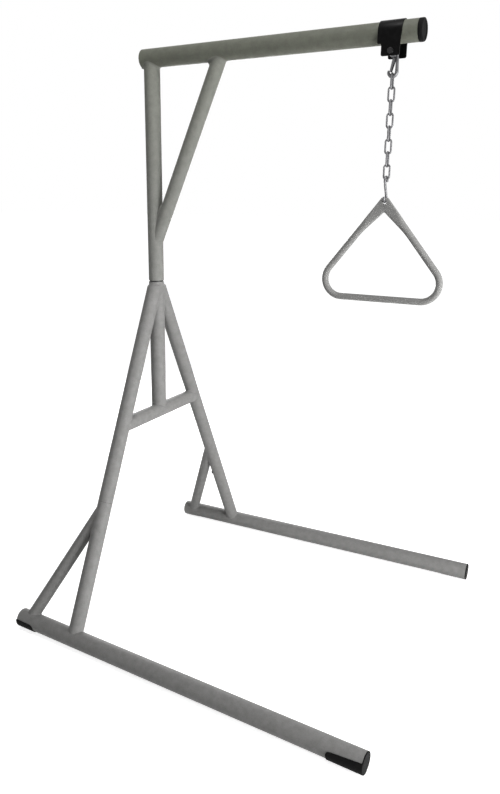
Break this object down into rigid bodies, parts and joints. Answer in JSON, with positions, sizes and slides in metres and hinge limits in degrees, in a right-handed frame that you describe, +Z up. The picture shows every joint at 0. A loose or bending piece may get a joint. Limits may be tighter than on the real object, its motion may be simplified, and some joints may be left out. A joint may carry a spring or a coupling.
{
  "type": "freestanding trapeze",
  "caption": "Tubular floor stand with a braced boom over a bed, and a triangular hand grip hung from a sliding boom clamp by a latched hook, a chain and an S-hook.",
  "frame": {"origin": "on the floor, under the middle of the stand's length and width", "axes": "+X forward along the boom, from the mast to the grip; +Y to the left; +Z up"},
  "size_m": [1.2129, 1.1702, 1.8333],
  "materials": {
    "stand_coat": "silver-vein grey powder coat, fine dark speckle, low sheen",
    "grip_coat": "speckled grey powder coat, low sheen",
    "zinc_plate": "bright zinc plate",
    "black_coat": "black powder coat, semi-gloss",
    "black_rubber": "moulded rubber, matt",
    "black_plastic": "moulded plastic, fine grain"
  },
  "bodies": {
    "stand": {"boom_tube": "stand_coat", "boom_front_cap": "black_plastic", "boom_rear_plug": "black_plastic", "mast_tube": "stand_coat", "mast_brace": "stand_coat", "mast_insert": "zinc_plate", "mast_spring": "zinc_plate", "base_post": "stand_coat", "cross_bar": "stand_coat", "upper_leg_left": "stand_coat", "upper_leg_right": "stand_coat", "lower_leg_left": "stand_coat", "lower_leg_right": "stand_coat", "leg_insert_left": "zinc_plate", "leg_insert_right": "zinc_plate", "leg_left_spring": "zinc_plate", "leg_right_spring": "zinc_plate", "base_brace_left": "stand_coat", "base_brace_right": "stand_coat", "rail_left": "stand_coat", "rail_right": "stand_coat", "front_foot_left": "black_rubber", "front_foot_right": "black_rubber", "rear_foot_left": "black_rubber", "rear_foot_right": "black_rubber"},
    "mast_button": {"mast_button": "black_plastic"},
    "left_button": {"leg_left_button": "black_plastic"},
    "right_button": {"leg_right_button": "black_plastic"},
    "clamp": {"clamp_strap": "black_coat", "clamp_bolt": "zinc_plate", "clamp_nut": "zinc_plate", "clamp_washer_left": "zinc_plate", "clamp_washer_right": "zinc_plate", "clamp_spacer_left": "zinc_plate", "clamp_spacer_right": "zinc_plate"},
    "hook": {"hook_body": "zinc_plate", "latch_pin": "zinc_plate", "latch_spring": "zinc_plate"},
    "latch": {"hook_latch": "zinc_plate"},
    "link_1": {"chain_link_1": "zinc_plate"},
    "link_2": {"chain_link_2": "zinc_plate"},
    "link_3": {"chain_link_3": "zinc_plate"},
    "link_4": {"chain_link_4": "zinc_plate"},
    "link_5": {"chain_link_5": "zinc_plate"},
    "link_6": {"chain_link_6": "zinc_plate"},
    "link_7": {"chain_link_7": "zinc_plate"},
    "link_8": {"chain_link_8": "zinc_plate"},
    "s_hook": {"s_hook": "zinc_plate"},
    "grip": {"hand_grip": "grip_coat"}
  },
  "joints": [
    {"name": "clamp_slide", "type": "slide", "parent": "stand", "child": "clamp", "axis": [1, 0, 0], "range_m": [-0.48, 0.03]},
    {"name": "hook_swing", "type": "hinge", "parent": "clamp", "child": "hook", "pos_m": [0.38648, 0, 1.7545], "axis": [0, 1, 0], "range_deg": [-60, 55]},
    {"name": "latch_swing", "type": "hinge", "parent": "hook", "child": "latch", "pos_m": [0.38868, 0, 1.737], "axis": [0, -1, 0], "range_deg": [0, 18], "stiffness_Nm_per_rad": 0.02, "springref_deg": -28.65, "deforming": ["latch_spring"]},
    {"name": "link_1_swing", "type": "hinge", "parent": "hook", "child": "link_1", "pos_m": [0.38598, 0, 1.6955], "axis": [1, 0, 0], "range_deg": [-90, 90]},
    {"name": "link_2_swing", "type": "hinge", "parent": "link_1", "child": "link_2", "pos_m": [0.38598, 0, 1.665], "axis": [0, 1, 0], "range_deg": [-90, 60]},
    {"name": "link_3_swing", "type": "hinge", "parent": "link_2", "child": "link_3", "pos_m": [0.38598, 0, 1.632], "axis": [-1, 0, 0], "range_deg": [-90, 90]},
    {"name": "link_4_swing", "type": "hinge", "parent": "link_3", "child": "link_4", "pos_m": [0.38598, 0, 1.599], "axis": [0, 1, 0], "range_deg": [-90, 85]},
    {"name": "link_5_swing", "type": "hinge", "parent": "link_4", "child": "link_5", "pos_m": [0.38598, 0, 1.566], "axis": [-1, 0, 0], "range_deg": [-90, 90]},
    {"name": "link_6_swing", "type": "hinge", "parent": "link_5", "child": "link_6", "pos_m": [0.38598, 0, 1.533], "axis": [0, -1, 0], "range_deg": [-90, 90]},
    {"name": "link_7_swing", "type": "hinge", "parent": "link_6", "child": "link_7", "pos_m": [0.38598, 0, 1.5], "axis": [1, 0, 0], "range_deg": [-90, 90]},
    {"name": "link_8_swing", "type": "hinge", "parent": "link_7", "child": "link_8", "pos_m": [0.38598, 0, 1.467], "axis": [0, 1, 0], "range_deg": [-90, 90]},
    {"name": "s_hook_swing", "type": "hinge", "parent": "link_8", "child": "s_hook", "pos_m": [0.38598, 0, 1.434], "axis": [-1, 0, 0], "range_deg": [-90, 90]},
    {"name": "grip_swing", "type": "hinge", "parent": "s_hook", "child": "grip", "pos_m": [0.38598, 0, 1.3738], "axis": [0, 1, 0], "range_deg": [-90, 90]},
    {"name": "left_button_press", "type": "slide", "parent": "stand", "child": "left_button", "axis": [0.7407, 0.6018, 0.2985], "range_m": [0, 0.005], "stiffness_N_per_m": 2000, "deforming": ["leg_left_spring"]},
    {"name": "right_button_press", "type": "slide", "parent": "stand", "child": "right_button", "axis": [0.7407, -0.6018, 0.2985], "range_m": [0, 0.005], "stiffness_N_per_m": 2000, "deforming": ["leg_right_spring"]},
    {"name": "mast_button_press", "type": "slide", "parent": "stand", "child": "mast_button", "axis": [1, 0, 0], "range_m": [0, 0.005], "stiffness_N_per_m": 2000, "deforming": ["mast_spring"]}
  ]
}
